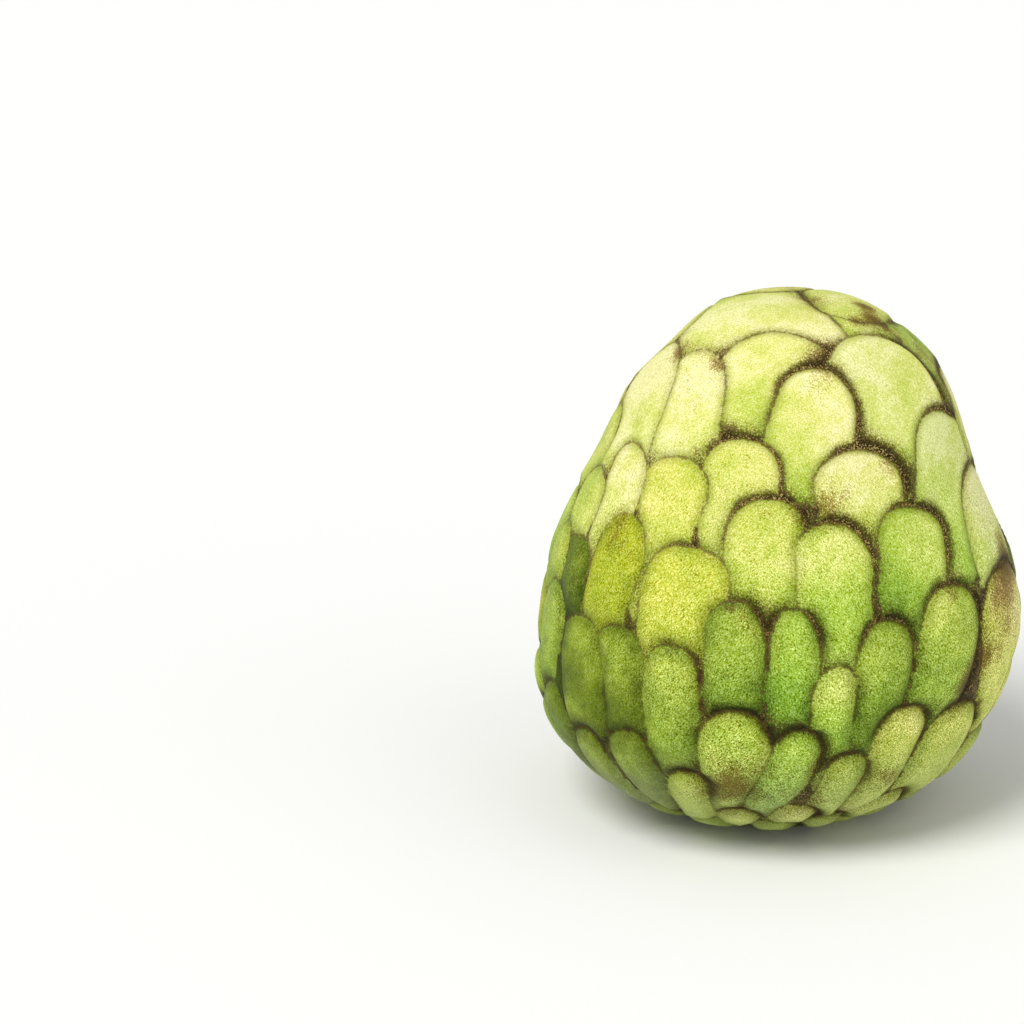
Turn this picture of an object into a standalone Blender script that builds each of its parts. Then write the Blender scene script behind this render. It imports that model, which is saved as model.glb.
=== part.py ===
"""Custard apple (cherimoya): one whole fruit, standing on its stalk end.

The fruit grew as one piece, so it is one solid. Its body is an outline carried round the
upright axis: a blunt dome that leans a little to one side, straight sloping shoulders, the
widest ring low down, and a small flat ring that it rests on. Inside that ring the stalk
left a shallow hollow with a round scar. Metres, +Z up, the flat ring centred on the origin.
"""

import math

import bmesh
import bpy
import numpy as np

MM = 0.001

# Driving dimensions.
HEIGHT = 95.0 * MM
WIDTH = 86.0 * MM
FOOT_RADIUS = 16.0 * MM          # outer edge of the flat ring it rests on
HOLLOW_RADIUS = 9.0 * MM         # inner edge of that ring, the mouth of the stalk hollow
HOLLOW_DEPTH = 3.6 * MM
SCAR_RADIUS = 3.4 * MM           # round scar where the stalk broke away
SCAR_HEIGHT = 1.0 * MM           # how far the scar stands down from the hollow's roof
SCAR_TAPER = 0.94                # the scar's face as a part of its foot

# Outline of the body, from the blossom end down. Each row is the ring's radius as a part of
# half the width, its height as a part of the whole height, and how far the ring's centre
# lies towards +X as a part of half the width.
OUTLINE = (
    (0.00, 1.000, 0.046),
    (0.327, 0.975, 0.036),
    (0.501, 0.912, 0.031),
    (0.686, 0.800, 0.020),
    (0.815, 0.652, -0.009),
    (0.953, 0.505, -0.008),
    (1.00, 0.357, -0.007),
    (0.952, 0.220, -0.050),
    (0.785, 0.105, -0.039),
    (0.525, 0.030, -0.037),
)
POLE_ROWS = 3                    # rows mirrored over the blossom end, so that it is level there

# The body is a little out of round: waves as (number round the fruit, size, angle in degrees).
WAVES = ((2, 0.012, 32.0), (3, 0.010, -12.0))
FADE_RINGS = 6                   # rings over which the waves fade towards the tip and the foot

SIDES = 72                       # points round each ring
BODY_RINGS = 34                  # rings along the outline of the body
FOOT_STEPS = 3                   # rings across the flat foot ring
HOLLOW_STEPS = 5                 # rings along the wall of the hollow
CURVE_SAMPLES = 2000             # points that the outline's length is measured on

SKIN_COLOUR = (0.42, 0.50, 0.10, 1.0)
SKIN_ROUGHNESS = 0.5
SHARP_ANGLE = math.radians(40.0)


def remove_everything():
    """Empty the scene of the objects it opened with."""
    for item in list(bpy.data.objects):
        bpy.data.objects.remove(item, do_unlink=True)


def skin_material():
    """Green skin of the fruit, with a soft waxy shine."""
    material = bpy.data.materials.new("custard_apple_skin")
    material.use_nodes = True
    shader = material.node_tree.nodes["Principled BSDF"]
    shader.inputs["Base Color"].default_value = SKIN_COLOUR
    shader.inputs["Roughness"].default_value = SKIN_ROUGHNESS
    shader.inputs["Metallic"].default_value = 0.0
    return material


def distances_along(points):
    """Distance from the first point to each point, along the line through them."""
    steps = np.linalg.norm(np.diff(points[:, :2], axis=0), axis=1)
    return np.concatenate(([0.0], np.cumsum(steps)))


def spline_through(points):
    """Natural cubic spline through the points: its knots, and a function of the distance."""
    knots = distances_along(points)
    steps = np.diff(knots)
    size = len(knots)
    slopes = np.diff(points, axis=0) / steps[:, None]
    system = np.eye(size)
    target = np.zeros_like(points)
    for row in range(1, size - 1):
        system[row, row - 1] = steps[row - 1]
        system[row, row] = 2.0 * (steps[row - 1] + steps[row])
        system[row, row + 1] = steps[row]
        target[row] = 6.0 * (slopes[row] - slopes[row - 1])
    bends = np.linalg.solve(system, target)

    def at(places):
        piece = np.clip(np.searchsorted(knots, places) - 1, 0, size - 2)
        span = steps[piece][:, None]
        after = (places - knots[piece])[:, None]
        before = span - after
        cubic = (bends[piece] * before ** 3 + bends[piece + 1] * after ** 3) / (6.0 * span)
        start = (points[piece] / span - bends[piece] * span / 6.0) * before
        end = (points[piece + 1] / span - bends[piece + 1] * span / 6.0) * after
        return cubic + start + end

    return knots, at


def body_rings():
    """Rings (radius, height, centre) evenly spaced from below the tip to the foot ring."""
    half = 0.5 * WIDTH
    rows = [(radius * half, height * HEIGHT, side * half) for radius, height, side in OUTLINE]
    rows.append((FOOT_RADIUS, 0.0, 0.0))
    mirrored = [(-radius, height, side) for radius, height, side in rows[POLE_ROWS:0:-1]]
    knots, curve = spline_through(np.array(mirrored + rows))
    dense = curve(np.linspace(knots[POLE_ROWS], knots[-1], CURVE_SAMPLES))
    run = distances_along(dense)
    wanted = np.linspace(0.0, run[-1], BODY_RINGS + 1)
    rings = np.stack([np.interp(wanted, run, column) for column in dense.T], axis=1)
    return rings[1:]


def base_rings():
    """Rings of the flat foot ring, the wall of the stalk hollow and the scar inside it."""
    rings = []
    for step in range(1, FOOT_STEPS + 1):
        share = step / FOOT_STEPS
        rings.append((FOOT_RADIUS + share * (HOLLOW_RADIUS - FOOT_RADIUS), 0.0, 0.0))
    for step in range(1, HOLLOW_STEPS + 1):
        turn = 0.5 * math.pi * step / HOLLOW_STEPS
        inward = (HOLLOW_RADIUS - SCAR_RADIUS) * (1.0 - math.cos(turn))
        rings.append((HOLLOW_RADIUS - inward, HOLLOW_DEPTH * math.sin(turn), 0.0))
    rings.append((SCAR_TAPER * SCAR_RADIUS, HOLLOW_DEPTH - SCAR_HEIGHT, 0.0))
    return np.array(rings)


def ring_factors(body_count, base_count, angles):
    """Factor on the radius of each ring at each angle: the waves, faded at tip and foot."""
    waves = sum(size * np.cos(number * (angles - math.radians(turn))) for number, size, turn in WAVES)
    rising = np.linspace(0.0, 1.0, FADE_RINGS)
    middle = np.ones(body_count - 2 * FADE_RINGS)
    fade = np.concatenate((rising, middle, rising[::-1], np.zeros(base_count)))
    return 1.0 + fade[:, None] * waves[None, :]


def fruit_mesh():
    """Closed skin of the fruit: rings joined by quads, with a fan of triangles at each end."""
    body = body_rings()
    base = base_rings()
    rings = np.vstack((body, base))
    angles = np.linspace(0.0, 2.0 * math.pi, SIDES, endpoint=False)
    reach = rings[:, 0:1] * ring_factors(len(body), len(base), angles)
    x = rings[:, 2:3] + reach * np.cos(angles)
    y = reach * np.sin(angles)

    shape = bmesh.new()
    tip = shape.verts.new((0.5 * WIDTH * OUTLINE[0][2], 0.0, HEIGHT))
    scar = shape.verts.new((0.0, 0.0, HOLLOW_DEPTH - SCAR_HEIGHT))
    loops = []
    for row, height in enumerate(rings[:, 1]):
        loops.append([shape.verts.new((x[row, k], y[row, k], height)) for k in range(SIDES)])
    for k in range(SIDES):
        after = (k + 1) % SIDES
        shape.faces.new((tip, loops[0][k], loops[0][after]))
        for upper, lower in zip(loops[:-1], loops[1:]):
            shape.faces.new((upper[k], lower[k], lower[after], upper[after]))
        shape.faces.new((loops[-1][after], loops[-1][k], scar))
    bmesh.ops.recalc_face_normals(shape, faces=shape.faces)

    mesh = bpy.data.meshes.new("fruit")
    shape.to_mesh(mesh)
    shape.free()
    mesh.shade_smooth()
    mesh.set_sharp_from_angle(angle=SHARP_ANGLE)
    return mesh


def build():
    """Make the one node of the part."""
    remove_everything()
    fruit = bpy.data.objects.new("fruit", fruit_mesh())
    bpy.context.scene.collection.objects.link(fruit)
    fruit.data.materials.append(skin_material())


build()
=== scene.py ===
import math
from functools import partial

import bpy
import numpy as np
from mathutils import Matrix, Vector


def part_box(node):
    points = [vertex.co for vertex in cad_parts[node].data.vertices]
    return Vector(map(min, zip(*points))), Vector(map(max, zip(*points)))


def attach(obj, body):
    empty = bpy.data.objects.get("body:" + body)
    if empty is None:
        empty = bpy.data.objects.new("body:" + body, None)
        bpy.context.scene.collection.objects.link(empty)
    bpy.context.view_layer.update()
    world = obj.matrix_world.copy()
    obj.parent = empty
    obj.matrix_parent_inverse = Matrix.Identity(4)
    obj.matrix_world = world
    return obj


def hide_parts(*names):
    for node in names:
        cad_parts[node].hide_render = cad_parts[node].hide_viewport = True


# A whole custard apple (cherimoya) standing on its stalk end. The skin is one closed surface:
# the fruit's body, grown over with areoles, the scale-like ends of its many fused carpels.
# Lengths are in millimetres until they go into Blender, which gets metres.

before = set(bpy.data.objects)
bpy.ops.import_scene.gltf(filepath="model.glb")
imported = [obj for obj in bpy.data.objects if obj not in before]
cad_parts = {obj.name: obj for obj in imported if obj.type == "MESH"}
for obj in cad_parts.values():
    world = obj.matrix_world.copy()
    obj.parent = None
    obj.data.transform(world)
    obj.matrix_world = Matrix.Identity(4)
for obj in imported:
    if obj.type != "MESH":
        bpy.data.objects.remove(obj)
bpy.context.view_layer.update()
print("frame loaded")

mm = 0.001
fruitHigh = np.array(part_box("fruit")[1]) / mm  # upper corner of the fruit's box


def toLinear(hexColour):  # sRGB hex, such as "#a0b040", to linear RGBA
    parts = np.array([int(hexColour[i:i + 2], 16) for i in (1, 3, 5)]) / 255
    linear = np.where(parts <= 0.04045, parts / 12.92, ((parts + 0.055) / 1.055) ** 2.4)
    return (*linear.tolist(), 1.0)


def addNode(tree, kind, wires=None, **settings):
    # wires says what goes into each socket, by its name or number: a value, another socket, or
    # a node, which stands for its first output in use
    made = tree.nodes.new("ShaderNode" + kind)
    for name, value in settings.items():
        setattr(made, name, value)
    for place, value in (wires or {}).items():
        named = [socket for socket in made.inputs if socket.enabled and socket.name == place]
        socket = named[0] if named else made.inputs[place]
        if isinstance(value, bpy.types.Node):
            value = [output for output in value.outputs if output.enabled][0]
        if isinstance(value, bpy.types.NodeSocket):
            tree.links.new(value, socket)
        else:
            socket.default_value = value
    return made


def smoothStep(low, high, value):  # 0 below low, 1 above high, with an S-shaped rise between
    share = np.clip((value - low) / (high - low), 0, 1)
    return share * share * (3 - 2 * share)


# the body: the fruit's shape without its areoles
body = {
    # ring radius as a part of half the width, height as a part of the whole height, and how far
    # the ring's centre lies to the right as a part of half the width; from the top down
    "outline": [
        (0.00, 1.000, 0.046), (0.327, 0.975, 0.036), (0.501, 0.912, 0.031), (0.686, 0.800, 0.020),
        (0.815, 0.652, -0.009), (0.953, 0.505, -0.008), (1.00, 0.357, -0.007),
        (0.952, 0.220, -0.050), (0.785, 0.105, -0.039), (0.525, 0.030, -0.037),
    ],
    "halfWidth": 43.0,
    "footRadius": 16.0,        # outer edge of the flat ring it stands on
    "hollowRadius": 9.0,       # inner edge of that ring, the mouth of the stalk hollow
    "hollowDepth": 3.6,
    "scarRadius": 3.4,         # round scar where the stalk broke away
    "scarHeight": 1.0,
    "waves": [(2, 0.012, 122.0), (3, 0.010, 78.0)],  # number round the fruit, size, angle
    "waveFade": 23.0,          # the waves fade out over this length at the top and the foot
}


def lengthAlong(points):  # distance from the first point to each, along the line through them
    steps = np.linalg.norm(np.diff(points[:, :2], axis=0), axis=1)
    return np.concatenate(([0.0], np.cumsum(steps)))


def splineThrough(points, places):
    # natural cubic spline: cubics between the points, with slope and bend unbroken at each
    knots = lengthAlong(points)
    steps = np.diff(knots)
    slopes = np.diff(points, axis=0) / steps[:, None]
    system = np.eye(len(knots))
    target = np.zeros_like(points)
    for row in range(1, len(knots) - 1):
        system[row, row - 1:row + 2] = steps[row - 1], 2 * (steps[row - 1] + steps[row]), steps[row]
        target[row] = 6 * (slopes[row] - slopes[row - 1])
    bends = np.linalg.solve(system, target)
    piece = np.clip(np.searchsorted(knots, places) - 1, 0, len(steps) - 1)
    span = steps[piece][:, None]
    after = (places - knots[piece])[:, None]
    before = span - after
    cubic = (bends[piece] * before ** 3 + bends[piece + 1] * after ** 3) / (6 * span)
    return (cubic + (points[piece] / span - bends[piece] * span / 6) * before
            + (points[piece + 1] / span - bends[piece + 1] * span / 6) * after)


def makeOutline():
    # the outline as a dense line of (radius, height, sideways) rows, with the length run so far:
    # the spline of the body, the flat foot ring, a quarter round into the hollow, and the scar
    half = body["halfWidth"]
    size = np.array([half, fruitHigh[2], half])
    rows = np.vstack([np.array(body["outline"]) * size, [body["footRadius"], 0, 0]])
    mirrored = rows[3:0:-1] * [-1, 1, 1]  # carried over the pole, so the top is level there
    control = np.vstack([mirrored, rows])
    knots = lengthAlong(control)
    skin = splineThrough(control, np.linspace(knots[3], knots[-1], 1200))
    turn = np.linspace(0, math.pi / 2, 40)
    wall = body["hollowRadius"] - body["scarRadius"]
    hollow = np.stack([body["hollowRadius"] - wall * (1 - np.cos(turn)),
                       body["hollowDepth"] * np.sin(turn), 0 * turn], axis=1)
    scarLevel = body["hollowDepth"] - body["scarHeight"]
    scar = np.array([[0.94 * body["scarRadius"], scarLevel, 0], [0, scarLevel, 0]])
    line = np.vstack([skin, hollow, scar])
    return line, lengthAlong(line), lengthAlong(skin)[-1]


outline, outlineRun, bodyLength = makeOutline()


def bodyPoint(around, down):
    # point of the smooth body: around in degrees, 0 in front and 90 to the right, and down in
    # millimetres along the skin from the top. Radius and height come from the outline, and
    # waves of the angle push the radius in and out
    down = np.clip(down, 0, outlineRun[-1])
    radius, level, sideways = (np.interp(down, outlineRun, column) for column in outline.T)
    turn = np.radians(around)
    fade = np.clip(np.minimum(down, bodyLength - down) / body["waveFade"], 0, 1)
    for number, size, angle in body["waves"]:
        radius = radius * (1 + fade * size * np.cos(number * (turn - math.radians(angle))))
    return np.stack([sideways + radius * np.sin(turn), -radius * np.cos(turn), level], axis=-1)


def unit(vectors):  # each vector divided by its length
    return vectors / np.maximum(np.linalg.norm(vectors, axis=-1, keepdims=True), 1e-9)


def bodyFrame(around, down):
    # the body's point, its outward normal, and its up and right directions along the skin
    around, down = np.asarray(around, dtype=float), np.asarray(down, dtype=float)
    step = 0.4
    up = unit(bodyPoint(around, down - step) - bodyPoint(around, down + step))
    right = unit(np.stack([np.cos(np.radians(around)), np.sin(np.radians(around)),
                           np.zeros_like(around)], axis=-1))
    normal = unit(np.cross(right, up))
    return bodyPoint(around, down), normal, up, unit(np.cross(up, normal))


# the areoles: where they lie and how large they are
areoles = {
    "growthTip": (30, 14),     # where the skin's growth starts: around, down
    "squareness": 2.3,         # of a rim: 2 is an ellipse, more is squarer
    # around, down, width, length from the middle to the tip, and to the end of the tail, lean to
    # the right in degrees, pale (0 deep green to 1 cream), yellow (below 0 is greener), and brown
    "front": [
        (-48, 7.5, 34, 22, 26, 74, 0.9, 0.0, -0.1), (-11, 25, 21, 10, 17, 5, 0.84, 0.0, -0.15),
        (39.5, 31, 25.6, 13.5, 17, 5, 0.86, -0.12, -0.3), (4, 36, 16, 13.5, 12, 10, 0.83, 0.0, -0.15),
        (-45, 32, 14.5, 11, 21, -20, 0.94, 0.0, 0.0), (-76.5, 33, 18, 10, 24, -32, 0.97, 0.0, 0.0),
        (80, 21, 27, 15, 30, -48, 0.74, -0.15, 0.15), (135, 16, 18, 20, 26, -38, 0.82, -0.1, 0.0),
        (195, 19, 20, 13, 26, -10, 0.75, 0.0, 0.3), (252, 25, 18, 9, 26, 20, 0.8, 0.0, 0.1),
        (60.6, 45, 20.4, 9.5, 23, 24, 0.97, -0.25, -0.35), (-18, 43, 14, 7, 19, -5, 0.84, 0.1, 0.0),
        (-38.5, 47, 13.2, 6, 24, -5, 0.76, 0.3, 0.0), (-58, 48, 11, 7, 18, -3, 0.91, 0.0, 0.0),
        (-76, 53, 13, 5, 16, -12, 0.7, 0.0, 0.0), (20.8, 45.5, 17.2, 7, 14.5, -2, 0.9, 0.0, -0.1),
        (76.5, 57.5, 20, 9, 20, 30, 1.05, -0.1, -0.35), (37, 57, 15, 7.5, 18, 20, 0.67, -0.25, 0.0),
        (-7.8, 54, 14, 8, 18, 0, 0.72, 0.1, 0.0), (11.5, 58, 14, 7.3, 22, 0, 0.79, -0.12, 0.0),
        (-50, 61, 12, 8.5, 28, 2, 0.58, 0.9, 0.1), (-28, 63.5, 16.8, 8, 28, 0, 0.72, 0.5, 0.0),
        # the areoles low on the left, such as (-68, 66), are a deeper green than their own: partly painted
        # shade from neighbouring fruit that the scene leaves out
        (-68, 66, 13, 6, 26, -10, 0.03, 0.3, 0.0), (42.5, 74, 15, 9.5, 20, 20, 0.56, -0.1, 0.0),
        (69.5, 77, 24, 11, 22, 2, 0.83, 0.3, 0.05), (-14.5, 72.5, 11, 8.5, 22, 0, 0.42, -0.1, 0.05),
        (-0.2, 73, 9, 7.5, 22, 5, 0.54, -0.35, 0.0), (22.2, 76, 11.5, 8, 20, 12, 0.46, -0.1, 0.0),
        (-43.8, 78, 11, 6.5, 22, -10, 0.22, 0.3, 0.0), (-58, 79, 13, 6.5, 22, -15, 0.25, 0.3, 0.0),
        (-28.8, 82, 11.5, 9, 22, -8, 0.42, 0.0, 0.05), (10.2, 82, 8, 6.5, 20, -2, 0.63, -0.25, 0.0),
        (-11.5, 92, 13.5, 8.5, 20, -4, 0.64, -0.15, 0.0), (3, 94, 9, 7, 20, 14, 0.5, -0.4, 0.0),
        (30, 92, 10.5, 7.5, 20, 5, 0.75, 0.1, 0.0), (48.8, 94.8, 16, 7.5, 20, 5, 0.66, 0.1, 0.0),
        (17, 97.5, 8, 5, 20, 10, 0.5, 0.0, 0.1), (-38.5, 96, 9.5, 5.5, 20, -15, 0.22, 0.0, 0.05),
        (-53, 98.2, 9, 5, 20, -10, 0.22, 0.0, 0.05), (-24.5, 102, 8, 5.5, 20, 9, 0.62, 0.0, 0.1),
        (-13, 112, 7.5, 5, 16, 7, 0.64, 0.0, 0.1), (4.8, 110, 8, 4, 16, 20, 0.68, 0.0, 0.1),
        (34, 111, 7.5, 6, 16, 45, 0.6, 0.0, 0.1), (-70, 93, 12, 4.5, 20, -40, 0.16, 0.0, 0.0),
        (83, 92, 14, 7, 20, -6, 0.8, 0.3, 0.1), (70, 104, 13, 7, 20, 4, 0.55, 0.2, 0.1),
    ],
    # brown blushes: around, down, radius, and how brown
    "blushes": [
        (12, 20, 3.5, 0.7), (12, 25, 3.5, 0.6), (31, 41.5, 2.5, 0.5), (10.5, 46, 4, 0.6),
        (4, 49, 4, 0.4), (51, 38, 4, 0.3), (-12, 98, 6.5, 0.75), (-7, 101.5, 4, 0.3), (48, 84, 5, 0.9),
        (54, 79, 4, 0.6), (8, 95, 3.5, 0.5), (7, 104, 4, 0.5), (30, 98.5, 4, 0.5), (-53, 56, 4, 0.35),
        (-28, 57, 4, 0.2), (-13, 66, 4, 0.3), (72, 68, 5, 0.9), (62, 70, 3, 0.5), (66, 75, 6, 0.4),
        (89, 62, 5, 0.6), (86, 20, 6, 0.15), (91, 29, 5, 0.3), (82, 12.5, 2.2, 1.1),
        (50, 13.8, 1.8, 0.7), (66, 14.4, 1.8, 0.9), (70.5, 17, 1.6, 0.8), (72, 21, 1.6, 0.8),
        (73, 25, 1.8, 0.8), (90, 1.5, 3, 0.6), (40, 5.4, 2.5, 0.5), (-40, 23.5, 2, 0.9),
        (-69, 24, 2, 0.7), (-64, 22, 4, 0.3), (150, 40, 8, 0.6), (215, 60, 9, 0.6), (120, 75, 8, 0.5),
        (260, 85, 8, 0.6), (180, 95, 8, 0.5), (95, 100, 7, 0.5), (-15.5, 65.5, 1.2, 0.6),
        (-13, 87, 1.2, 0.5), (-29.5, 73.5, 1.6, 0.4), (44.5, 66.5, 1.6, 0.4), (-9, 48.5, 1.6, 0.35),
        (78, 64.5, 4.5, 1.0), (-38, 90, 1.5, 0.5), (64, 40, 2.5, 0.4),
    ],
    # places where lines and dust are stronger than usual, or fainter: around, down, radius, change
    "wear": [
        (42, 13, 9, -0.85), (64, 10, 6, -0.8), (65, 25, 5, 0.6), (27, 15.5, 5, -0.6), (2, 58, 4, -0.7),
        (2, 62, 4, -0.75), (3.5, 53.5, 3.5, -0.5), (-6.5, 72, 4, -0.3), (-39, 61, 5, -0.3),
        (-48.5, 84, 7, -0.5), (-56, 27, 9, -0.3), (39, 45.5, 5, 0.4), (5, 48, 4, 0.3),
        (-7, 65.5, 4, 0.5), (-20.5, 76, 4, 0.8), (-4, 85, 4, 0.8), (12, 20.5, 4, 0.4), (51, 76, 4, 0.4),
        (33, 39, 5, 0.5), (25, 64, 5, 0.3), (-18.5, 67.5, 3, -0.5), (-29, 35, 5, 1.5),
        (9, 76, 7, -0.55), (-21, 84, 4, 0.6), (-17.5, 59, 5, -0.6),
    ],
    # the others fill the rest of the skin: their usual width and paleness at some lengths down
    "downs": [0, 25, 45, 60, 75, 90, 110, 131],
    "widths": [19, 18, 15, 13.5, 12.5, 11, 9, 8],
    "pales": [0.9, 0.85, 0.75, 0.62, 0.45, 0.42, 0.38, 0.4],
    "listed": (-66, 88, 12, 115),  # around from and to, down from and to, of the listed front
    "room": 0.82,              # least distance to the next areole, in widths
    "chance": 0.12,            # how much chance has a say in the next place
    "lengthways": 0.85,        # room that an areole takes along the fruit, beside that across it
    "bareMost": 1.2,           # bare skin further than this from a rim gets one more areole
    "seed": 7,
    "lightSide": (-0.75, -0.45, 0.5),  # towards the key light: lines and tails are fainter on the skin that faces it, which is painted light
}


def tongue(points, row):
    # distance of each point from the rim of one areole, inside less than zero, and its angle
    # from the tip, to the right. The rim is a tongue: a squarish ellipse, half as wide as the
    # areole, short towards the tip and long towards the tail
    around, down, width, tipLength, tailLength, lean = row[:6]
    centre, _, up, right = bodyFrame(around, down)
    turn = math.radians(lean)
    along = math.cos(turn) * up + math.sin(turn) * right
    across = math.cos(turn) * right - math.sin(turn) * up
    away = points - centre
    s, t = away @ across, away @ along
    stretch = np.linalg.norm(away, axis=-1) / (np.hypot(s, t) + 1e-6)
    s, t = s * stretch, t * stretch  # true lengths, also where the skin turns away
    reach = np.where(t > 0, tipLength, tailLength)
    half = width / 2
    power = areoles["squareness"]
    a, b = np.abs(s) / half + 1e-6, np.abs(t) / reach + 1e-6
    level = (a ** power + b ** power) ** (1 / power)
    slope = np.hypot(a ** (power - 1) / half, b ** (power - 1) / reach) * level ** (1 - power)
    return (level - 1) / slope, np.arctan2(s, t)


def fillAreoles():
    # each new areole goes where the skin lies furthest from all the areoles so far, counted in
    # the areole widths that are usual at that height, until no place is left for another
    around, down = np.meshgrid(np.arange(0, 360, 3.0), np.arange(2, bodyLength + 2, 1.5))
    around, down = around.ravel(), down.ravel()
    places, _, ups, _ = bodyFrame(around, down)
    usual = np.interp(down, areoles["downs"], areoles["widths"])
    # none are added where the front ones are listed
    turned = (around + 180) % 360 - 180
    left, right, top, bottom = areoles["listed"]
    listed = (turned > left) & (turned < right) & (down > top) & (down < bottom)
    nearest = np.where(listed, 0, 9.0)

    def claim(centre):  # lengthways an areole takes a little less room than sideways
        away = places - centre
        along = np.sum(away * ups, axis=1)
        across = np.sqrt(np.maximum(np.sum(away * away, axis=1) - along ** 2, 0))
        return np.hypot(across, along * areoles["lengthways"]) / usual

    rows = [list(row) for row in areoles["front"]]
    for row in rows:
        nearest = np.minimum(nearest, claim(bodyPoint(row[0], row[1])))
    draw = np.random.default_rng(areoles["seed"])
    while True:
        spot = int(np.argmax(nearest + areoles["chance"] * draw.random(len(nearest))))
        if nearest[spot] < areoles["room"]:
            break
        turn = (around[spot] + 180) % 360 - 180
        width = usual[spot] * draw.uniform(0.95, 1.2)
        pale = np.interp(down[spot], areoles["downs"], areoles["pales"]) + draw.normal(0, 0.08)
        rows.append([turn, down[spot], width, 0.62 * width, 24, draw.normal(0, 7), pale,
                     draw.normal(0, 0.2), max(0, draw.normal(0.05, 0.15))])
        nearest = np.minimum(nearest, claim(places[spot]))

    # then one more wherever the skin is still bare
    bare = np.min([tongue(places, row)[0] for row in rows], axis=0)
    bare[nearest == 0] = 0
    while bare.max() > areoles["bareMost"]:
        spot = int(np.argmax(bare))
        turn = (around[spot] + 180) % 360 - 180
        pale = np.interp(down[spot], areoles["downs"], areoles["pales"])
        rows.append([turn, down[spot], 0.95 * usual[spot], 0.6 * usual[spot], 20,
                     draw.normal(0, 7), pale, 0, 0.1])
        bare = np.minimum(bare, tongue(places, rows[-1])[0])
    return np.array(rows)


def orderAreoles(rows):
    # the order of growth, from the tip to the stalk: the later one lies over the earlier one
    centres = bodyPoint(rows[:, 0], rows[:, 1])
    fromTip = np.linalg.norm(centres - bodyPoint(*areoles["growthTip"]), axis=1)
    fromStalk = np.linalg.norm(centres, axis=1)
    return rows[np.argsort(fromTip / (fromTip + fromStalk))]


areoleRows = orderAreoles(fillAreoles())
print("areoles placed:", len(areoleRows))


# the skin: one closed surface, with relief and what its finish needs to know at each point
skin = {
    "rings": 252,              # along the outline
    "sides": 392,              # round the fruit
    "bulge": 0.85,             # how far a low areole stands out, millimetres
    "groove": 0.35,            # depth of the lines between areoles
    "grooveWidth": 0.8,
    "low": (35, 90),           # areoles stand out more and more between these lengths down
    "top": (8, 26),            # and have no flat facets above these
    "facet": 9,                # half the width of the widest facet
    "curve": 44.0,             # the body's usual radius of curvature
    "haze": 1.7,               # how far the brown haze reaches out from a rim
    "warp": 0.25,              # how far the rims are bent out of their plain shape
    "warpLength": 26.0,
    "darkest": 25,             # degrees to the right of the tip, where a rim is darkest; this lean away from the key light is partly painted shade
    "sideways": 1.35,          # how far round to the sides a rim stays dark
    "faintest": 0.15,          # how dark a rim is at its tail
    "litLineFade": 0.75,          # how much of its darkness a rim loses where it faces the key light: painted light
    "crotch": ([50, 75], [1.5, 0.8]),     # brown where two rims meet, at two lengths down
    "lineFade": ([55, 75], [1.0, 0.85]),  # fainter lines low down
    "bareHaze": 1.4,           # brown of bare skin between areoles
    "footFade": (9, 1),        # the relief fades out between these lengths from the foot
    "scarFrom": (15, 17),      # the scar's own colour starts this far past the foot
    "tail": (-0.35, 1.0),      # where the green starts and is full, in areole widths from the middle
    "tailFade": (80, 105),     # the tails' green fades between these lengths down
    "tailLess": 0.6,           # by this part, and by as much where it faces the key light, which is painted light
    "paler": 0.03,             # added to every areole
    "tailDeep": 0.24,          # how much deeper a tail is
    "tailGreen": 0.35,         # and how much greener
}


def warp(points):
    # bends the rims a little: waves in three directions, each pushing the next one over
    size, length = skin["warp"], skin["warpLength"]
    turns = 2 * math.pi * points / length
    first = np.sin(turns[:, [1, 2, 0]] + 1.7 * np.sin(1.31 * turns[:, [2, 0, 1]] + 1.0) + [0.3, 2.1, 4.0])
    second = np.sin(2.17 * turns[:, [2, 0, 1]] + 1.3 * np.sin(1.7 * turns[:, [0, 1, 2]]) + [1.1, 5.0, 0.6])
    return size * (first + 0.5 * second)


def bleach(normals):  # 1 where the skin faces the key light, where rims and tails are painted lighter
    return smoothStep(0.55, 0.95, normals @ unit(np.array(areoles["lightSide"])))


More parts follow.
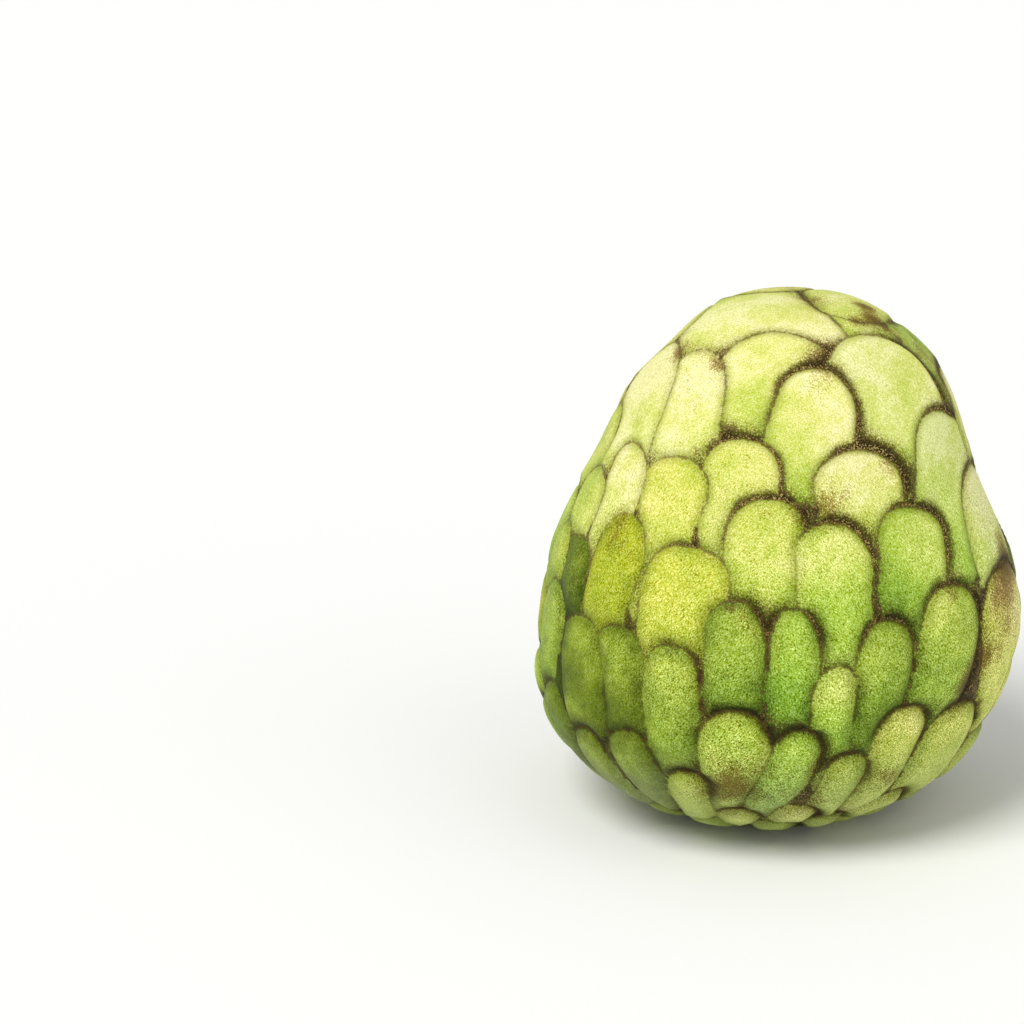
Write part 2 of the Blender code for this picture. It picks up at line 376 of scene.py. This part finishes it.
def makeFields(points, down):
    # for each areole and point, how far the point is from the part of the areole that shows,
    # inside less than zero: a later areole hides what lies under it. And for each point, how
    # dark the nearest rim is, how much brown haze the rims over it cast on it, and whether the
    # nearest rim is its own areole's
    count = len(points)
    points = points + warp(points)
    shown = np.empty((len(areoleRows), count), dtype=np.float32)
    cover = np.full(count, 99.0)
    nearest = np.full(count, 99.0)
    strength = np.zeros(count)
    haze = np.zeros(count)
    casting = np.zeros(count)  # by the rims so far, each by its strength
    near = np.zeros((2, count))  # how near the nearest two rims are, 1 at a rim
    inner = np.zeros(count)  # 1 where the nearest rim is the point's own areole's
    crotch = np.interp(down, *skin["crotch"])
    lower = np.interp(down, *skin["lineFade"])
    spread = 1 - skin["faintest"]
    for j in range(len(areoleRows) - 1, -1, -1):
        distance, angle = tongue(points, areoleRows[j])
        normal = bodyFrame(areoleRows[j, 0], areoleRows[j, 1])[1]
        # a rim is darkest near its tip and faint at its tail; its lean to the right, away from the key
        # light, is partly painted shade
        side = (angle - math.radians(skin["darkest"])) / skin["sideways"]
        side = np.clip(side, -math.pi / 2, math.pi / 2)
        dark = skin["faintest"] + spread * np.cos(side)
        # painted light: a rim is fainter where the skin faces the key light
        dark = dark * (1 - skin["litLineFade"] * bleach(normal))
        shown[j] = np.maximum(distance, -cover)
        uncovered = cover > 0
        closer = uncovered & (np.abs(distance) < nearest)
        inner[closer] = distance[closer] < 0
        nearest[closer] = np.abs(distance[closer])
        dark = dark * lower
        strength[closer] = dark[closer]
        own = uncovered & (distance < 0)
        haze[own] = casting[own] + crotch[own] * near[1][own] ** 1.5
        touch = np.exp(-np.abs(distance) / skin["haze"])
        casting += dark * touch
        near = np.stack([np.maximum(near[0], touch), np.maximum(near[1], np.minimum(near[0], touch))])
        cover = np.minimum(cover, distance)
    bare = cover > 0
    haze[bare] = np.maximum(casting[bare] + crotch[bare] * near[1][bare], skin["bareHaze"])
    for turn, height, radius, change in areoles["wear"]:
        away = np.linalg.norm(points - bodyPoint(turn, height), axis=1)
        share = 1 + change * np.exp(-(away / radius) ** 2)
        strength = strength * share
        haze = haze * share
    print("bare share of the skin:", round(float(np.mean(bare)), 4))
    return shown, strength, haze, inner


def pickClasses(shown):
    # sorts the areoles into classes whose members never touch, as a map is coloured, so that
    # one signed distance for each class tells the shader where all the rims are
    near = (shown < 1.2).astype(np.float32)
    touching = (near @ near.T) > 0
    classes = np.full(len(shown), -1)
    for _ in range(len(shown)):
        used = [set(classes[touching[j] & (classes >= 0)]) for j in range(len(shown))]
        waiting = [j for j in range(len(shown)) if classes[j] < 0]
        j = max(waiting, key=lambda k: (len(used[k]), touching[k].sum()))
        classes[j] = min(c for c in range(99) if c not in used[j])
    return classes


def makeSkin():
    # the body's grid of points, pushed along its normals by the areoles' relief
    downs = np.linspace(0, outlineRun[-1], skin["rings"] + 2)[1:-1]
    arounds = np.linspace(0, 360, skin["sides"], endpoint=False)
    around, down = (grid.ravel() for grid in np.meshgrid(arounds, downs))
    around = np.concatenate([around, [0, 0]])
    down = np.concatenate([down, [0, outlineRun[-1]]])  # the two poles come last
    points, normals, _, _ = bodyFrame(around, down)
    normals[-2:] = [[0, 0, 1], [0, 0, -1]]

    shown, strength, haze, inner = makeFields(points, down)
    classes = pickClasses(shown)
    print("areole classes:", classes.max() + 1)
    edges = np.stack([np.min(shown[classes == c], axis=0) if (classes == c).any()
                      else np.full(len(points), 99.0) for c in range(classes.max() + 1)])
    rim = np.min(np.abs(edges), axis=0)
    owner = np.argmin(shown, axis=0)

    low = smoothStep(*skin["low"], down)
    relief = np.zeros(len(points))
    weights = np.zeros(len(points))
    for j, row in enumerate(areoleRows):
        near = shown[j] < 3
        depth = np.maximum(-shown[j][near], 0)
        weight = np.exp(-np.maximum(shown[j][near], 0) ** 2 / 0.9)
        centre = bodyPoint(row[0], row[1])
        reach = np.linalg.norm(points[near] - centre, axis=1)
        half = row[2] / 2
        facet = min(half, skin["facet"])
        flat = (np.minimum(reach, 1.4 * facet) ** 2 - 0.5 * facet ** 2) / (2 * skin["curve"])
        dome = 1 - (1 - np.minimum(depth / (0.8 * half), 1)) ** 2
        level = smoothStep(*skin["top"], down[near]) * (1 - low[near])
        height = 0.8 * level * flat + (0.3 + 0.7 * low[near]) * skin["bulge"] * dome
        relief[near] += weight * height
        weights[near] += weight
    relief /= np.maximum(weights, 0.05)
    relief -= skin["groove"] * np.exp(-(rim / skin["grooveWidth"]) ** 2)
    start, end = skin["footFade"]
    fade = 1 - smoothStep(bodyLength - start, bodyLength - end, down)
    points = points + normals * (relief * fade)[:, None]
    points[:, 2] = np.maximum(points[:, 2], 0)

    rows = areoleRows[owner]
    start, end = skin["scarFrom"]
    scar = smoothStep(bodyLength + start, bodyLength + end, down)
    brown = rows[:, 8]
    for turn, height, radius, amount in areoles["blushes"]:
        away = np.linalg.norm(points - bodyPoint(turn, height), axis=1)
        brown = brown + amount * np.exp(-(away / radius) ** 2)
    # each areole grows greener and deeper from its tip to its tail, less where it faces the key light:
    # that lessening is painted light
    along = np.zeros(len(points))
    for j, row in enumerate(areoleRows):
        own = owner == j
        centre, _, up, right = bodyFrame(row[0], row[1])
        turn = math.radians(row[5])
        tailwards = -math.cos(turn) * up - math.sin(turn) * right
        along[own] = (points[own] - centre) @ tailwards / row[2]
    # painted light: a tail's green is weaker where the skin faces the key light
    tail = smoothStep(*skin["tail"], along) * (1 - skin["tailLess"] * bleach(normals))
    tail = tail * (1 - skin["tailLess"] * smoothStep(*skin["tailFade"], down))
    pale = rows[:, 6] + skin["paler"] - skin["tailDeep"] * tail
    yellow = rows[:, 7] - skin["tailGreen"] * tail
    fields = {
        "rims": np.stack(list(edges[:4]), axis=1),
        "tone": np.stack([pale, 0.5 + 0.5 * yellow, brown, scar], axis=1),
        "cork": np.stack([strength, haze, down / bodyLength, inner], axis=1),
    }
    return points, fields


def makePiece(name, points, fields):
    # rings of quads from the top to the scar, and a fan of triangles round each pole
    rings, sides = skin["rings"], skin["sides"]
    here = np.arange(rings * sides).reshape(rings, sides)
    beside = np.roll(here, -1, axis=1)
    quads = np.stack([here[:-1], here[1:], beside[1:], beside[:-1]], axis=-1).reshape(-1, 4)
    top, bottom = rings * sides, rings * sides + 1
    fans = np.concatenate([
        np.stack([np.full(sides, top), here[0], beside[0]], axis=1),
        np.stack([np.full(sides, bottom), beside[-1], here[-1]], axis=1)])
    mesh = bpy.data.meshes.new(name)
    mesh.vertices.add(len(points))
    mesh.vertices.foreach_set("co", (points * mm).astype(np.float32).ravel())
    corners = np.concatenate([quads.ravel(), fans.ravel()])
    sizes = np.concatenate([np.full(len(quads), 4), np.full(len(fans), 3)])
    starts = np.concatenate([[0], np.cumsum(sizes)[:-1]])
    mesh.loops.add(len(corners))
    mesh.loops.foreach_set("vertex_index", corners.astype(np.int32))
    mesh.polygons.add(len(sizes))
    mesh.polygons.foreach_set("loop_start", starts.astype(np.int32))
    mesh.update(calc_edges=True)
    mesh.validate()
    for fieldName, values in fields.items():
        layer = mesh.attributes.new(fieldName, "FLOAT_COLOR", "POINT")
        layer.data.foreach_set("color", values.astype(np.float32).ravel())
    mesh.shade_smooth()
    piece = bpy.data.objects.new(name, mesh)
    bpy.context.scene.collection.objects.link(piece)
    return piece


# the finish of the skin. Its own cells and cork grains are too fine to show, so the flecks of the
# mottling and of the cork are drawn coarser than the real ones, as coarse as they need to show
finish = {
    # skin colours from deep green to cream, by paleness
    "skin": [(0.0, "#4a5c10"), (0.2, "#71841e"), (0.4, "#97ab3c"), (0.6, "#b5c44e"), (0.75, "#ccd368"),
             (0.88, "#dddd80"), (1.0, "#ebe7a2")],
    "yellow": "#f8f060",       # multiplies the skin where it is yellower
    "green": "#d0ffc0",        # and where it is greener
    "stalkEndGrey": "#b6ba8c",        # covers it a little towards the stalk end
    "rimGreenShade": "#a2a65c",       # multiplies it beside a rim: partly the skin's own green, partly painted shade where the areoles round off
    "dot": "#55551c",          # dark pinpricks
    "blush": "#bea684",        # multiplies the skin where it is brownish
    "russet": "#5f4a20",       # and covers it where it is brownest
    "dust": "#968669",         # multiplies it beside the cork
    "dirt": "#2c220f",
    "corkThin": "#54431d",
    "cork": "#2a2010",
    "corkLight": "#b09a5c",
    "scar": "#6b5230",
    "grainSize": 0.2,          # millimetres from fleck to fleck of the fine mottling
    "grainStretch": 1.8,       # how much longer than wide its flecks are
    "grainLean": 38.0,         # and how far they lean towards the middle, in degrees
    "grainMiddle": -6.0,       # where the two leans meet, millimetres to the right
    "mottleSize": 2.4,
    "blotchSize": 12.0,
    "dotSpacing": 0.75,
    "cloudSize": 5.0,          # of the blush
    "patchSize": 8.0,          # over which lines and dust grow stronger and fainter
    "fibreSize": 0.3,          # flecks of cork
    "wobbleSize": 1.3,
    "lineWidth": 0.8,          # half the width of the strongest lines, millimetres
}


def paintSkin():
    # cherimoya skin under its own thin wax, as it grew: to the eye a soft satin with no sharp
    # gloss, finely mottled, and dull dark cork where the areoles' rims have cracked
    material = bpy.data.materials.new("cherimoyaSkin")
    material.use_nodes = True
    tree = material.node_tree
    tree.nodes.clear()
    colours = {name: toLinear(value) for name, value in finish.items() if str(value)[0] == "#"}

    add = partial(addNode, tree)
    spot = add("TexCoord").outputs["Object"]
    rims = add("Attribute", attribute_name="rims")
    tone = add("Attribute", attribute_name="tone")
    cork = add("Attribute", attribute_name="cork")
    pale, yellow, brown = add("SeparateColor", {"Color": tone.outputs["Color"]}).outputs
    strength, haze, down = add("SeparateColor", {"Color": cork.outputs["Color"]}).outputs

    # distance from the nearest rim, in millimetres
    apart = add("VectorMath", {0: rims.outputs["Color"]}, operation="ABSOLUTE")
    first, second, third = add("SeparateXYZ", {0: apart}).outputs
    fourth = add("Math", {0: rims.outputs["Alpha"]}, operation="ABSOLUTE")
    nearer = add("Math", {0: first, 1: second}, operation="MINIMUM")
    nearest = add("Math", {0: third, 1: fourth}, operation="MINIMUM")
    rim = add("Math", {0: nearer, 1: nearest}, operation="MINIMUM")

    # the patterns of the skin, from fine to coarse
    # flecks are drawn out towards the top, so the left half is a mirror of the right
    across, deep, high = add("SeparateXYZ", {0: spot}).outputs
    across = add("Math", {0: across, 1: -finish["grainMiddle"] * mm})
    across = add("Math", {0: across}, operation="ABSOLUTE")
    mirrored = add("CombineXYZ", {"X": across, "Y": deep, "Z": high})
    lean = math.radians(-finish["grainLean"])
    leaning = add("Mapping", {"Vector": mirrored, "Rotation": (0, lean, 0),
                              "Scale": (1, 1, finish["grainStretch"])}, vector_type="TEXTURE")
    grain = add("TexNoise", {"Vector": leaning, "Scale": 1 / (finish["grainSize"] * mm),
                             "Detail": 1.5, "Roughness": 0.6, "Distortion": 0.3})
    mottle = add("TexNoise", {"Vector": spot, "Scale": 1 / (finish["mottleSize"] * mm), "Detail": 3.0,
                              "Roughness": 0.6})
    blotch = add("TexNoise", {"Vector": spot, "Scale": 1 / (finish["blotchSize"] * mm), "Detail": 3.0})
    cloud = add("TexNoise", {"Vector": spot, "Scale": 1 / (finish["cloudSize"] * mm), "Detail": 4.0,
                             "Roughness": 0.65})
    patch = add("TexNoise", {"Vector": spot, "Scale": 1 / (finish["patchSize"] * mm), "Detail": 2.0})
    fibre = add("TexNoise", {"Vector": spot, "Scale": 1 / (finish["fibreSize"] * mm), "Detail": 1.0})
    wobble = add("TexNoise", {"Vector": spot, "Scale": 1 / (finish["wobbleSize"] * mm), "Detail": 3.0,
                              "Roughness": 0.7})
    dots = add("TexVoronoi", {"Vector": spot, "Scale": 1 / (finish["dotSpacing"] * mm)})

    # skin colour: each areole has its own, in soft blotches
    cloudy = add("MapRange", {"Value": mottle, "From Min": 0.3, "From Max": 0.7, "To Min": -0.08,
                              "To Max": 0.08})
    soft = add("MapRange", {"Value": blotch, "From Min": 0.3, "From Max": 0.7, "To Min": -0.16,
                            "To Max": 0.16})
    shade = add("Math", {0: pale, 1: cloudy})
    shade = add("Math", {0: shade, 1: soft})
    ramp = add("ValToRGB", {0: shade})
    stops = ramp.color_ramp.elements
    while len(stops) < len(finish["skin"]):
        stops.new(0.5)
    for stop, (place, hexColour) in zip(stops, finish["skin"]):
        stop.position = place
        stop.color = toLinear(hexColour)
    yellower = add("MapRange", {"Value": yellow, "From Min": 0.5, "From Max": 1.0})
    greener = add("MapRange", {"Value": yellow, "From Min": 0.5, "From Max": 0.0})
    skinColour = add("Mix", {"Factor": yellower, "A": ramp, "B": colours["yellow"]},
                     data_type="RGBA", blend_type="MULTIPLY")
    skinColour = add("Mix", {"Factor": greener, "A": skinColour, "B": colours["green"]},
                     data_type="RGBA", blend_type="MULTIPLY")

    # greyer towards the stalk end
    stalkEndGrey = add("MapRange", {"Value": down, "From Min": 0.68, "From Max": 0.85, "To Max": 0.35},
                interpolation_type="SMOOTHSTEP")
    skinColour = add("Mix", {"Factor": stalkEndGrey, "A": skinColour, "B": colours["stalkEndGrey"]},
                     data_type="RGBA")

    # fine flecks, paler or greener than the rest, faint at the top, the foot and the lower left
    fleckSize = add("MapRange", {"Value": down, "From Min": 0.3, "From Max": 0.62, "To Min": 1.3,
                                 "To Max": 3.5})
    fleckLess = add("MapRange", {"Value": down, "From Min": 0.7, "From Max": 0.85, "To Min": 1.0,
                                 "To Max": 0.65})
    fleckSize = add("Math", {0: fleckSize, 1: fleckLess}, operation="MULTIPLY")
    fromLowLeft = add("VectorMath", {0: spot, 1: (0.75, 0, 0.66)}, operation="DOT_PRODUCT")
    leftLess = add("MapRange", {"Value": fromLowLeft, "From Min": -6 * mm, "From Max": 5 * mm,
                                "To Min": 0.5, "To Max": 1.0}, interpolation_type="SMOOTHSTEP")
    fleckSize = add("Math", {0: fleckSize, 1: leftLess}, operation="MULTIPLY")
    centred = add("Math", {0: grain, 1: -0.5})
    fleckLight = add("Math", {0: centred, 1: fleckSize, 2: 1.0}, operation="MULTIPLY_ADD")
    fleckPure = add("Math", {0: centred, 1: -1.2, 2: 1.0}, operation="MULTIPLY_ADD")
    skinColour = add("HueSaturation", {"Color": skinColour, "Value": fleckLight,
                                       "Saturation": fleckPure})

    # greener and darker beside the rims, more so beside the strong ones and low down: partly the skin's
    # own green, partly painted shade where the areoles round off into the lines
    reach = add("MapRange", {"Value": down, "From Min": 0.35, "From Max": 0.6, "To Min": 2.0,
                             "To Max": 3.6})
    rimGreenShade = add("MapRange", {"Value": rim, "From Min": 0.0, "From Max": reach, "To Min": 1.0,
                              "To Max": 0.0}, interpolation_type="SMOOTHSTEP")
    rimGreenShadeShare = add("Math", {0: strength, 1: 0.5, 2: 0.4}, operation="MULTIPLY_ADD")
    rimGreenShade = add("Math", {0: rimGreenShade, 1: rimGreenShadeShare}, operation="MULTIPLY")
    skinColour = add("Mix", {"Factor": rimGreenShade, "A": skinColour, "B": colours["rimGreenShade"]},
                     data_type="RGBA", blend_type="MULTIPLY")

    # dark pinpricks, many low down and few at the top
    dotHere = add("MapRange", {"Value": dots.outputs["Distance"], "From Min": 0.1, "From Max": 0.3,
                               "To Min": 0.5, "To Max": 0.0}, interpolation_type="SMOOTHSTEP")
    chosen = add("SeparateColor", {"Color": dots.outputs["Color"]}).outputs[0]
    share = add("MapRange", {"Value": down, "From Min": 0.3, "From Max": 0.6, "To Min": 0.03,
                             "To Max": 0.5})
    kept = add("Math", {0: chosen, 1: share}, operation="LESS_THAN")
    dotHere = add("Math", {0: dotHere, 1: kept}, operation="MULTIPLY")
    skinColour = add("Mix", {"Factor": dotHere, "A": skinColour, "B": colours["dot"]},
                     data_type="RGBA")

    # brown blush of some areoles, in clouds
    clouded = add("Math", {0: cloud, 1: 1.4, 2: 0.08}, operation="MULTIPLY_ADD")
    speckled = add("Math", {0: grain, 1: -1.3, 2: clouded}, operation="MULTIPLY_ADD")
    blush = add("Math", {0: brown, 1: speckled})
    brownish = add("MapRange", {"Value": blush, "From Min": 0.25, "From Max": 0.95},
                   interpolation_type="SMOOTHSTEP")
    brownest = add("MapRange", {"Value": blush, "From Min": 0.55, "From Max": 1.3, "To Max": 0.75},
                   interpolation_type="SMOOTHSTEP")
    skinColour = add("Mix", {"Factor": brownish, "A": skinColour, "B": colours["blush"]},
                     data_type="RGBA", blend_type="MULTIPLY")
    skinColour = add("Mix", {"Factor": brownest, "A": skinColour, "B": colours["russet"]},
                     data_type="RGBA")

    # brown dust on the skin outside each rim, thickest where rims meet
    uneven = add("Math", {0: patch, 1: 2.0, 2: -1.0}, operation="MULTIPLY_ADD")
    grainy = add("Math", {0: fibre, 1: 2.0, 2: -1.0}, operation="MULTIPLY_ADD")
    roughly = add("Math", {0: grainy, 1: 1.8, 2: uneven}, operation="MULTIPLY_ADD")
    roughly = add("Math", {0: roughly, 1: 1.0})
    dust = add("Math", {0: haze, 1: roughly}, operation="MULTIPLY")
    dusty = add("MapRange", {"Value": dust, "From Min": 0.05, "From Max": 1.1},
                interpolation_type="SMOOTHSTEP")
    dirty = add("MapRange", {"Value": dust, "From Min": 0.65, "From Max": 1.7, "To Max": 0.88},
                interpolation_type="SMOOTHSTEP")
    dirtFleck = add("MapRange", {"Value": fibre, "From Min": 0.52, "From Max": 0.68, "To Max": 0.6})
    dirt = add("Mix", {"Factor": dirtFleck, "A": colours["dirt"], "B": colours["corkLight"]},
               data_type="RGBA")
    skinColour = add("Mix", {"Factor": dusty, "A": skinColour, "B": colours["dust"]},
                     data_type="RGBA", blend_type="MULTIPLY")
    skinColour = add("Mix", {"Factor": dirty, "A": skinColour, "B": dirt},
                     data_type="RGBA")

    # cork along the rims, its width uneven, with light flecks on the strongest at the top
    shifted = add("Math", {0: wobble, 1: 1.2, 2: -0.6}, operation="MULTIPLY_ADD")
    wander = add("Math", {0: rim, 1: shifted})
    wander = add("Math", {0: grainy, 1: -0.4, 2: wander}, operation="MULTIPLY_ADD")
    thick = add("Math", {0: strength, 1: uneven})
    solid = add("MapRange", {"Value": thick, "From Min": -0.1, "From Max": 0.8, "To Min": 0.25})
    side = add("Math", {0: cork.outputs["Alpha"], 1: -0.55, 2: 1.0}, operation="MULTIPLY_ADD")
    thick = add("Math", {0: thick, 1: finish["lineWidth"]}, operation="MULTIPLY")
    thick = add("Math", {0: thick, 1: 0.22}, operation="MAXIMUM")
    thick = add("Math", {0: thick, 1: side}, operation="MULTIPLY")
    ratio = add("Math", {0: wander, 1: thick}, operation="DIVIDE")
    coreMost = add("MapRange", {"Value": down, "From Min": 0.45, "From Max": 0.6, "To Min": 0.92,
                                "To Max": 0.72})
    core = add("MapRange", {"Value": ratio, "From Min": 0.1, "From Max": 1.1, "To Min": coreMost,
                            "To Max": 0.0}, interpolation_type="SMOOTHSTEP")
    smear = add("MapRange", {"Value": down, "From Min": 0.45, "From Max": 0.6, "To Min": 2.4,
                             "To Max": 3.4})
    edge = add("MapRange", {"Value": ratio, "From Min": 0.2, "From Max": smear, "To Min": 1.0,
                            "To Max": 0.0}, interpolation_type="SMOOTHSTEP")
    core = add("Math", {0: core, 1: solid}, operation="MULTIPLY")
    edge = add("Math", {0: edge, 1: solid}, operation="MULTIPLY")
    ridge = add("MapRange", {"Value": ratio, "From Min": 0.3, "From Max": 0.9, "To Min": 1.0,
                             "To Max": 0.0}, interpolation_type="SMOOTHSTEP")
    patchy = add("MapRange", {"Value": uneven, "From Min": -0.25, "From Max": 0.2, "To Min": 0.45})
    higher = add("MapRange", {"Value": down, "From Min": 0.45, "From Max": 0.6, "To Min": 1.0,
                              "To Max": 0.15})
    fleck = add("MapRange", {"Value": fibre, "From Min": 0.5, "From Max": 0.62})
    fleck = add("Math", {0: fleck, 1: ridge}, operation="MULTIPLY")
    fleck = add("Math", {0: fleck, 1: patchy}, operation="MULTIPLY")
    fleck = add("Math", {0: fleck, 1: higher}, operation="MULTIPLY")
    heavy = add("MapRange", {"Value": thick, "From Min": 0.25, "From Max": 0.8})
    corkColour = add("Mix", {"Factor": heavy, "A": colours["corkThin"], "B": colours["cork"]},
                     data_type="RGBA")
    corkColour = add("Mix", {"Factor": fleck, "A": corkColour, "B": colours["corkLight"]},
                     data_type="RGBA")
    skinColour = add("Mix", {"Factor": edge, "A": skinColour, "B": colours["dust"]},
                     data_type="RGBA", blend_type="MULTIPLY")
    skinColour = add("Mix", {"Factor": core, "A": skinColour, "B": corkColour}, data_type="RGBA")
    skinColour = add("Mix", {"Factor": tone.outputs["Alpha"], "A": skinColour,
                             "B": colours["scar"]}, data_type="RGBA")

    pitted = add("Math", {0: core, 1: -0.15}, operation="MULTIPLY")
    height = add("Math", {0: grain, 1: 0.06, 2: pitted}, operation="MULTIPLY_ADD")
    bump = add("Bump", {"Strength": 0.7, "Distance": mm, "Height": height})
    dull = add("MapRange", {"Value": core, "To Min": 0.55, "To Max": 0.9})
    shader = add("BsdfPrincipled", {"Base Color": skinColour, "Roughness": dull, "Normal": bump,
                                    "Specular IOR Level": 0.08})
    add("OutputMaterial", {"Surface": shader})
    return material


skinPoints, skinFields = makeSkin()
fruitSkin = makePiece("fruitSkin", skinPoints, skinFields)
fruitSkin.data.materials.append(paintSkin())
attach(fruitSkin, "root")
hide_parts("fruit")
print("skin made")


# the floor, the light and the camera
studio = {
    "floor": "#f6f6f4",
    "floorRadius": 6.0,        # metres
    "world": "#ffffff",
    "worldStrength": 0.5,
    # wide suns, like large soft boxes far away: name, azimuth, elevation, strength, width
    "suns": [("keySun", -40, 52, 2.15, 30), ("fillSun", 50, 30, 0.4, 60)],
    "elevation": 18.0,         # the camera looks down by this much
    "lens": 135.0,
    "distance": 698.0,         # from the middle of the fruit, millimetres
    "aim": (-48.7, 8.4),       # the camera aims this far right of and above the fruit's middle
}


def buildStudio():
    floorMesh = bpy.data.meshes.new("floor")
    turn = np.linspace(0, 2 * math.pi, 96, endpoint=False)
    rim = np.stack([np.cos(turn), np.sin(turn), 0 * turn], axis=1) * studio["floorRadius"]
    floorMesh.from_pydata(rim.tolist(), [], [list(range(96))])
    floor = bpy.data.objects.new("floor", floorMesh)
    bpy.context.scene.collection.objects.link(floor)
    paper = bpy.data.materials.new("matteWhitePaper")
    paper.use_nodes = True
    shader = paper.node_tree.nodes["Principled BSDF"]
    shader.inputs["Base Color"].default_value = toLinear(studio["floor"])
    shader.inputs["Roughness"].default_value = 0.9
    floorMesh.materials.append(paper)

    world = bpy.data.worlds.new("studioWorld")
    world.use_nodes = True
    background = world.node_tree.nodes["Background"]
    background.inputs["Color"].default_value = toLinear(studio["world"])
    background.inputs["Strength"].default_value = studio["worldStrength"]
    bpy.context.scene.world = world
    bpy.context.scene.view_settings.view_transform = "Standard"

    middle = Vector((0, 0, 46 * mm))
    for name, azimuth, elevation, power, width in studio["suns"]:
        light = bpy.data.lights.new(name, "SUN")
        light.energy = power
        light.angle = math.radians(width)
        lamp = bpy.data.objects.new(name, light)
        a, e = math.radians(azimuth), math.radians(elevation)
        away = Vector((math.sin(a) * math.cos(e), -math.cos(a) * math.cos(e), math.sin(e)))
        lamp.location = middle + away
        lamp.rotation_euler = away.to_track_quat("Z", "Y").to_euler()
        bpy.context.scene.collection.objects.link(lamp)

    camera = bpy.data.objects.new("camera", bpy.data.cameras.new("camera"))
    camera.data.lens = studio["lens"]
    e = math.radians(studio["elevation"])
    back = Vector((0, -math.cos(e), math.sin(e)))
    upward = Vector((0, math.sin(e), math.cos(e)))
    aim = middle + (studio["aim"][0] * Vector((1, 0, 0)) + studio["aim"][1] * upward) * mm
    camera.location = aim + back * studio["distance"] * mm
    camera.rotation_euler = back.to_track_quat("Z", "Y").to_euler()
    camera.data.clip_start = 0.01
    camera.data.clip_end = 100
    bpy.context.scene.collection.objects.link(camera)
    bpy.context.scene.camera = camera


buildStudio()
print("studio made")
